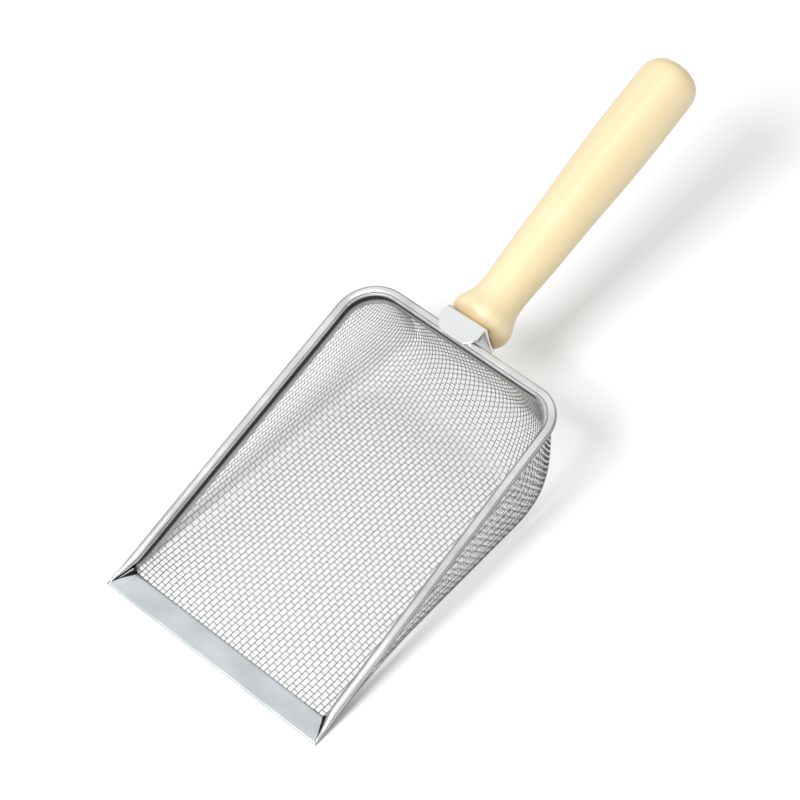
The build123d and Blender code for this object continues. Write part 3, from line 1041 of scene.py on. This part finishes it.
# ---- finishes -------------------------------------------------------------------------------------------
class Nodes:
    """A node tree under construction, with short calls to add and join nodes."""

    def __init__(self, tree: bpy.types.NodeTree) -> None:
        """Take the tree to work on."""
        self.tree = tree

    def add(self, kind: str, values: dict[str, object] | None = None, **settings: object) -> bpy.types.Node:
        """Add a node.

        Args:
            kind: Blender's name of the node's type.
            values: Values of its input sockets, by socket name.
            **settings: Properties of the node itself.

        Returns:
            The node.
        """
        node = self.tree.nodes.new(kind)
        for key, value in settings.items():
            setattr(node, key, value)
        for key, value in (values or {}).items():
            node.inputs[key].default_value = value
        return node

    def join(self, source: Socket, target: Socket) -> None:
        """Link an output to an input."""
        self.tree.links.new(source, target)

    def ranged(self, value: Socket, source: tuple[float, float], target: tuple[float, float]) -> Socket:
        """A value carried from one range to another and held there.

        Args:
            value: The value.
            source: The range it comes from, start and end.
            target: The range it goes to, start and end.

        Returns:
            The value socket.
        """
        ends = dict(zip(("From Min", "From Max", "To Min", "To Max"), source + target))
        node = self.add("ShaderNodeMapRange", ends)
        self.join(value, node.inputs["Value"])
        return node.outputs["Result"]

    def product(self, first: Socket, second: Socket) -> Socket:
        """Two values multiplied.

        Args:
            first: A value.
            second: Another value.

        Returns:
            The value socket.
        """
        node = self.add("ShaderNodeMath", operation="MULTIPLY")
        self.join(first, node.inputs[0])
        self.join(second, node.inputs[1])
        return node.outputs[0]

    def weighted(self, value: Socket, weight: float, rest: Socket) -> Socket:
        """A value times a weight, added to another value.

        Args:
            value: The value that is weighted.
            weight: Its weight.
            rest: The value it is added to.

        Returns:
            The value socket.
        """
        node = self.add("ShaderNodeMath", operation="MULTIPLY_ADD")
        node.inputs[1].default_value = weight
        self.join(value, node.inputs[0])
        self.join(rest, node.inputs[2])
        return node.outputs[0]

    def part(self, vector: Socket, axis: str) -> Socket:
        """One part of a vector.

        Args:
            vector: The vector.
            axis: X, Y or Z.

        Returns:
            The value socket.
        """
        node = self.add("ShaderNodeSeparateXYZ")
        self.join(vector, node.inputs["Vector"])
        return node.outputs[axis]

    def ramp(self, value: Socket, stops: list[tuple[float, Triple]]) -> Socket:
        """A colour ramp.

        Args:
            value: What the ramp is read by.
            stops: Places and colours.

        Returns:
            The colour socket.
        """
        node = self.add("ShaderNodeValToRGB")
        elements = node.color_ramp.elements
        while len(elements) < len(stops):
            elements.new(0.5)
        for element, (place, colour) in zip(elements, stops):
            element.position = place
            element.color = (*colour, 1.0)
        self.join(value, node.inputs["Fac"])
        return node.outputs["Color"]

    def tinted(self, base: Socket, factor: Socket, colour: Triple, blend: str = "MIX") -> Socket:
        """A colour mixed towards another by a factor.

        Args:
            base: The first colour.
            factor: Share of the second.
            colour: The second colour.
            blend: Blender's name of the way they are mixed.

        Returns:
            The colour socket.
        """
        node = self.add("ShaderNodeMix", data_type="RGBA", blend_type=blend)
        self.join(factor, node.inputs["Factor"])
        self.join(base, node.inputs["A"])
        node.inputs["B"].default_value = (*colour, 1.0)
        return node.outputs["Result"]


class Recipe(Nodes):
    """A material under construction, with one Principled shader."""

    def __init__(self, name: str) -> None:
        """Start a material.

        Args:
            name: Name of the material.
        """
        self.material = bpy.data.materials.new(name)
        self.material.use_nodes = True
        super().__init__(self.material.node_tree)
        self.shader = self.tree.nodes["Principled BSDF"]

    def feed(self, name: str, source: Socket) -> None:
        """Drive one of the shader's sockets by a pattern."""
        self.join(source, self.shader.inputs[name])

    def fix(self, values: dict[str, float]) -> None:
        """Set constants on the shader's own sockets."""
        for name, value in values.items():
            self.shader.inputs[name].default_value = value

    def coords(self, scale: Triple = (1.0, 1.0, 1.0), output: str = "Object",
               turn: Triple = (0.0, 0.0, 0.0)) -> Socket:
        """Pattern coordinates, turned and then scaled.

        Args:
            scale: Scale along each axis.
            output: Texture Coordinate output that is read.
            turn: Angles in radians.

        Returns:
            The vector socket.
        """
        source = self.add("ShaderNodeTexCoord")
        turned = self.add("ShaderNodeMapping", {"Rotation": turn})
        scaled = self.add("ShaderNodeMapping", {"Scale": scale})
        self.join(source.outputs[output], turned.inputs["Vector"])
        self.join(turned.outputs["Vector"], scaled.inputs["Vector"])
        return scaled.outputs["Vector"]

    def noise(self, vector: Socket, scale: float, detail: float = 3.0, roughness: float = 0.5) -> Socket:
        """A noise pattern's value.

        Args:
            vector: Coordinates.
            scale: Scale of the noise.
            detail: Octaves.
            roughness: Strength of the finer octaves.

        Returns:
            The value socket.
        """
        node = self.add("ShaderNodeTexNoise", {"Scale": scale, "Detail": detail, "Roughness": roughness})
        self.join(vector, node.inputs["Vector"])
        return node.outputs["Fac"]

    def painted_dark_edges(self, base: Socket, start: float, amount: float) -> Socket:
        """A metal's colour with painted dark reflections, darkening where the surface turns away from the
        eye.

        Args:
            base: The colour seen square on.
            start: Facing value at which it begins to fall.
            amount: Share of the colour lost at the very edge.

        Returns:
            The colour socket.
        """
        facing = self.add("ShaderNodeLayerWeight", {"Blend": 0.5})
        factor = self.ranged(facing.outputs["Facing"], (start, 1.0), (0.0, amount))
        # near black of the painted dark reflection
        return self.tinted(base, factor, (0.02, 0.02, 0.022))

    def bump(self, heights: list[tuple[Socket, float, float]]) -> None:
        """Chain bumps into the shader's normal.

        Args:
            heights: Height sockets, each with its strength and distance in metres.
        """
        last = None
        for height, strength, distance in heights:
            node = self.add("ShaderNodeBump", {"Strength": strength, "Distance": distance})
            self.join(height, node.inputs["Height"])
            if last is not None:
                self.join(last, node.inputs["Normal"])
            last = node.outputs["Normal"]
        self.feed("Normal", last)


@dataclass(frozen=True)
class PolishedSheet:
    """Bright rolled sheet: fine lines along the strip, soft dents, a few rubbed patches.

    With the rim's shading painted in, the sheet is the rim's: the pattern coordinate round its section, in
    metres, sets painted light and shade. From 0 to about 15 mm it runs round the bead, which gets a painted
    dark reflection along its outermost line and along its underside towards the band. Past 19 mm it belongs
    to the band: it is painted greyer as shade, and nearly black with painted shade just under the bead.
    Every sheet gets painted dark reflections where it turns away from the eye.
    """

    name: str = "polished_sheet"
    dark: Triple = (0.66, 0.665, 0.67)
    bright: Triple = (0.92, 0.925, 0.93)
    rough_low: float = 0.12
    rough_high: float = 0.24
    dent: float = 0.25
    edge_painted_darkness: float = 0.85
    rim_shading_painted: bool = False
    # painted shade: grey of the band, which is the same sheet as the bead
    band_painted_shade: Triple = (0.5, 0.49, 0.485)
    # near black of the painted shade and the painted dark reflections
    painted_dark_tone: Triple = (0.05, 0.05, 0.052)
    # Places round the section, in metres: the painted dark reflections on the bead, the bead's end, the
    # band's start and the end of the painted shade under the bead
    outer_painted_reflection: tuple[float, float] = (0.0007, 0.0013)
    # place of the painted dark reflection on the bead's underside
    underside: tuple[float, float] = (0.0066, 0.0076)
    bead_end: tuple[float, float] = (0.0190, 0.0191)
    band_start: tuple[float, float] = (0.0190, 0.0195)
    painted_crease_end: tuple[float, float] = (0.0238, 0.0252)

    def paint_rim_shading(self, r: Recipe, tone: Socket) -> Socket:
        """Painted shade and painted dark reflections of the rim strip, each by its place round the section.

        Args:
            r: The material's recipe.
            tone: The plain sheet's colour.

        Returns:
            The colour socket.
        """
        place = r.part(r.coords(output="UV"), "Y")
        # where the band's painted shade begins
        band = r.ranged(place, self.band_start, (0.0, 1.0))
        # painted shade: near black on the band just under the bead
        deep = r.product(band, r.ranged(place, self.painted_crease_end, (1.0, 0.0)))
        # painted dark reflection along the bead's outermost line
        outer = r.ranged(place, self.outer_painted_reflection, (0.85, 0.0))
        on_bead = r.ranged(place, self.bead_end, (1.0, 0.0))
        # painted dark reflection along the bead's underside towards the band
        under = r.product(r.ranged(place, self.underside, (0.0, 0.92)), on_bead)
        # painted shade: the band greyer than the bead
        tone = r.tinted(tone, band, self.band_painted_shade)
        # mix in the near black painted shade and painted dark reflections
        for factor in (deep, outer, under):
            tone = r.tinted(tone, factor, self.painted_dark_tone)
        return tone

    def make(self) -> bpy.types.Material:
        """Build the material.

        Patches set the tone, lines times patches the dullness, and lines and dents the bump.

        Returns:
            The material.
        """
        r = Recipe(self.name)
        lines = r.noise(r.coords((60.0, 6000.0, 1.0), "UV"), 1.0, 4.0, 0.6)
        patches = r.noise(r.coords(), 45.0, 3.0, 0.5)
        dents = r.noise(r.coords(), 110.0, 2.0, 0.4)
        tone = r.ramp(patches, [(0.3, self.dark), (0.65, self.bright)])
        if self.rim_shading_painted:
            tone = self.paint_rim_shading(r, tone)
        # painted dark reflections where the sheet turns away from the eye
        r.feed("Base Color", r.painted_dark_edges(tone, 0.5, self.edge_painted_darkness))
        dullness = r.ranged(r.product(lines, patches), (0.1, 0.45), (self.rough_low, self.rough_high))
        r.feed("Roughness", dullness)
        r.bump([(lines, 0.08, 0.00004), (dents, self.dent, 0.0003)])
        r.fix({"Metallic": 1.0})
        return r.material


@dataclass(frozen=True)
class WovenWire:
    """Drawn bright wire with painted light and shade: dark where it climbs away from the light, bright where
    it leans towards it.
    """

    name: str = "woven_wire"
    climbing_painted_shade: Triple = (0.085, 0.085, 0.083)
    # painted middle tone between the painted shade and the painted light
    level: Triple = (0.45, 0.45, 0.44)
    falling_painted_light: Triple = (0.93, 0.93, 0.92)

    def make(self) -> bpy.types.Material:
        """Build the material: the second pattern coordinate, the wire's lean, sets its painted light and
        shade.

        A fine noise along the wire varies its dullness.

        Returns:
            The material.
        """
        r = Recipe(self.name)
        lean = r.part(r.coords(output="UV"), "Y")
        # painted shade where the wire climbs, painted light where it falls
        tone = r.ramp(lean, [(0.1, self.climbing_painted_shade), (0.5, self.level), (0.8, self.falling_painted_light)])
        # painted dark reflections towards the wire's edges
        r.feed("Base Color", r.painted_dark_edges(tone, 0.35, 0.7))
        grain = r.noise(r.coords(), 900.0, 2.0, 0.5)
        r.feed("Roughness", r.ranged(grain, (0.3, 0.7), (0.36, 0.22)))
        r.fix({"Metallic": 1.0})
        return r.material


@dataclass(frozen=True)
class TurnedWood:
    """Pale close-grained wood under a thin lacquer, browner at its foot against the plate as a painted
    contact shadow.
    """

    name: str = "turned_wood"
    pale: Triple = (0.80, 0.69, 0.46)
    deep: Triple = (0.73, 0.60, 0.35)
    cloud_tone: Triple = (0.93, 0.86, 0.74)
    # colour of the painted contact shadow at the foot
    foot_painted_shadow: Triple = (0.42, 0.24, 0.10)
    axis_tilt: float = math.radians(68.2)

    def make(self) -> bpy.types.Material:
        """Build the material.

        The grain reads coordinates turned so that their third axis lies along the handle, squeezed across
        it and stretched along it. The painted contact shadow at the foot fades with the first pattern
        coordinate, the distance from the foot, less a share of the cloudy noise.

        Returns:
            The material.
        """
        r = Recipe(self.name)
        turn = (self.axis_tilt, 0.0, 0.0)
        fibre = r.noise(r.coords((900.0, 900.0, 22.0), turn=turn), 1.0, 4.0, 0.55)
        streak = r.noise(r.coords((130.0, 130.0, 5.0), turn=turn), 1.0, 3.0, 0.5)
        cloud = r.noise(r.coords(turn=turn), 24.0, 2.0, 0.5)
        grain = r.ramp(r.weighted(fibre, 0.35, streak), [(0.45, self.pale), (0.95, self.deep)])
        clouded = r.tinted(grain, r.ranged(cloud, (0.35, 0.7), (0.0, 0.35)), self.cloud_tone, "MULTIPLY")
        from_foot = r.weighted(cloud, -0.0035, r.part(r.coords(output="UV"), "X"))
        # painted contact shadow where the foot meets the plate
        foot_shadow = r.ranged(from_foot, (-0.0015, 0.0042), (0.75, 0.0))
        r.feed("Base Color", r.tinted(clouded, foot_shadow, self.foot_painted_shadow))
        r.feed("Roughness", r.ranged(streak, (0.3, 0.7), (0.36, 0.5)))
        r.bump([(fibre, 0.12, 0.00012), (streak, 0.1, 0.0004)])
        r.fix({"Coat Weight": 0.1, "Coat Roughness": 0.3})
        return r.material


@dataclass(frozen=True)
class PlainSteel:
    """Dull drawn steel of the core wire, the washer and the screw."""

    name: str = "plain_steel"
    dark: Triple = (0.4, 0.4, 0.41)
    bright: Triple = (0.62, 0.62, 0.63)

    def make(self) -> bpy.types.Material:
        """Build the material: one fine noise sets tone, dullness and bump.

        Returns:
            The material.
        """
        r = Recipe(self.name)
        spots = r.noise(r.coords(), 700.0, 4.0, 0.6)
        r.feed("Base Color", r.ramp(spots, [(0.3, self.dark), (0.7, self.bright)]))
        r.feed("Roughness", r.ranged(spots, (0.3, 0.7), (0.42, 0.28)))
        r.bump([(spots, 0.15, 0.0001)])
        r.fix({"Metallic": 1.0})
        return r.material


# ---- the studio -----------------------------------------------------------------------------------------
@dataclass(frozen=True)
class Studio:
    """Pale ground, soft light and the camera."""

    ground_size: float = 6.0
    ground_tone: float = 0.86
    ground_cloud: float = 0.01
    # The sky: its tone overhead and low down, the heights between which it changes, and what the eye sees.
    world_top: float = 0.9
    world_edge: float = 0.07
    edge_from: float = 0.1
    edge_to: float = 0.5
    backdrop: float = 0.95
    key_power: float = 17.0
    key_size: float = 0.42
    key_place: Triple = (0.02, -0.85, 1.2)
    camera_place: Triple = (0.46566, -0.49205, 0.97722)
    azimuth: float = math.radians(40.91)
    elevation: float = math.radians(52.05)
    roll: float = math.radians(0.42)
    lens: float = 119.25
    sensor: float = 36.0
    far_limit: float = 20.0

    def ground(self) -> None:
        """A wide matt pale plane under the scoop."""
        r = Recipe("ground")
        cloud = r.noise(r.coords(), 3.0, 2.0, 0.5)
        tones = (self.ground_tone, self.ground_tone + self.ground_cloud)
        r.feed("Base Color", r.ramp(cloud, [(place, (tone,) * 3) for place, tone in zip((0.3, 0.7), tones)]))
        r.fix({"Roughness": 0.9, "Specular IOR Level": 0.1})
        half = self.ground_size / 2
        mesh = bpy.data.meshes.new("ground")
        corners = [(-half, -half, 0.0), (half, -half, 0.0), (half, half, 0.0), (-half, half, 0.0)]
        mesh.from_pydata(corners, [], [(0, 1, 2, 3)])
        mesh.materials.append(r.material)
        plane = bpy.data.objects.new("ground", mesh)
        bpy.context.scene.collection.objects.link(plane)

    def sky(self) -> None:
        """A pale sky that lights less from low down, and is one plain tone to the eye."""
        world = bpy.data.worlds.new("studio")
        world.use_nodes = True
        nodes = Nodes(world.node_tree)
        height = nodes.part(nodes.add("ShaderNodeTexCoord").outputs["Generated"], "Z")
        low, high = (self.edge_from, (self.world_edge,) * 3), (self.edge_to, (self.world_top,) * 3)
        seen = nodes.add("ShaderNodeLightPath").outputs["Is Camera Ray"]
        tone = nodes.tinted(nodes.ramp(height, [low, high]), seen, (self.backdrop,) * 3)
        nodes.join(tone, nodes.tree.nodes["Background"].inputs["Color"])
        bpy.context.scene.world = world

    def lamp(self) -> None:
        """One soft lamp high up beyond the lip, turned to the scoop."""
        data = bpy.data.lights.new("key", "AREA")
        data.energy = self.key_power
        data.size = self.key_size
        back = unit(np.array(self.key_place))
        right = unit(np.cross(np.array([0.0, 0.0, 1.0]), back))
        self.pose("key", data, (right, np.cross(back, right), back), self.key_place)

    @staticmethod
    def pose(name: str, data: bpy.types.ID, axes: tuple[np.ndarray, ...], place: Triple) -> bpy.types.Object:
        """Put a lamp or a camera in its place.

        Args:
            name: Name of the object.
            data: The lamp or camera.
            axes: Unit vectors to its right, upwards and backwards.
            place: Its place in metres.

        Returns:
            The object.
        """
        thing = bpy.data.objects.new(name, data)
        rows = np.column_stack([*axes, place])
        thing.matrix_world = Matrix([*rows.tolist(), [0.0, 0.0, 0.0, 1.0]])
        bpy.context.scene.collection.objects.link(thing)
        return thing

    def camera(self) -> None:
        """The camera, set by its place and by the azimuth, elevation and roll of its line of sight.

        The way back from the scene is (cos e sin a, -cos e cos a, sin e), for azimuth a and elevation e.
        """
        az, el = self.azimuth, self.elevation
        back = np.array([math.cos(el) * math.sin(az), -math.cos(el) * math.cos(az), math.sin(el)])
        level = np.array([math.cos(az), math.sin(az), 0.0])
        right = level * math.cos(self.roll) + np.cross(back, level) * math.sin(self.roll)
        data = bpy.data.cameras.new("camera")
        data.lens = self.lens
        data.sensor_width = self.sensor
        data.clip_end = self.far_limit
        axes = (right, np.cross(back, right), back)
        bpy.context.scene.camera = self.pose("camera", data, axes, self.camera_place)

    def build(self) -> None:
        """Set up the ground, the light, the camera and the plain view transform."""
        self.ground()
        self.sky()
        self.lamp()
        self.camera()
        bpy.context.scene.view_settings.view_transform = "Standard"
        log.info("studio is set")


def dress_node(node: bpy.types.Object, material: bpy.types.Material) -> None:
    """Give a CAD node one material.

    Args:
        node: The node's object.
        material: Its new material.
    """
    node.data.materials.clear()
    node.data.materials.append(material)
    log.info("%s keeps its CAD shape", node.name)


def main() -> None:
    """Build every piece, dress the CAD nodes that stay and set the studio."""
    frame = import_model()
    rim_sheet = PolishedSheet(rim_shading_painted=True)
    lip_sheet = PolishedSheet(name="lip_sheet", dark=(0.58, 0.615, 0.635), bright=(0.7, 0.74, 0.765),
                              rough_low=0.3, rough_high=0.45, dent=0.1)
    bracket_sheet = PolishedSheet(name="bracket_sheet", dark=(0.88, 0.885, 0.89), bright=(0.95, 0.955, 0.96),
                                  rough_low=0.1, rough_high=0.2, dent=0.05)
    for maker, finish in ((Rim, rim_sheet), (Lip, lip_sheet), (Bracket, bracket_sheet),
                          (Handle, TurnedWood()), (WireCloth, WovenWire())):
        maker(Pan()).build(finish.make())
    steel = PlainSteel().make()
    for name in ("rim_core_wire", "handle_screw", "screw_washer"):
        dress_node(frame["nodes"][name], steel)
    Studio().build()


if __name__ == "__main__":
    main()
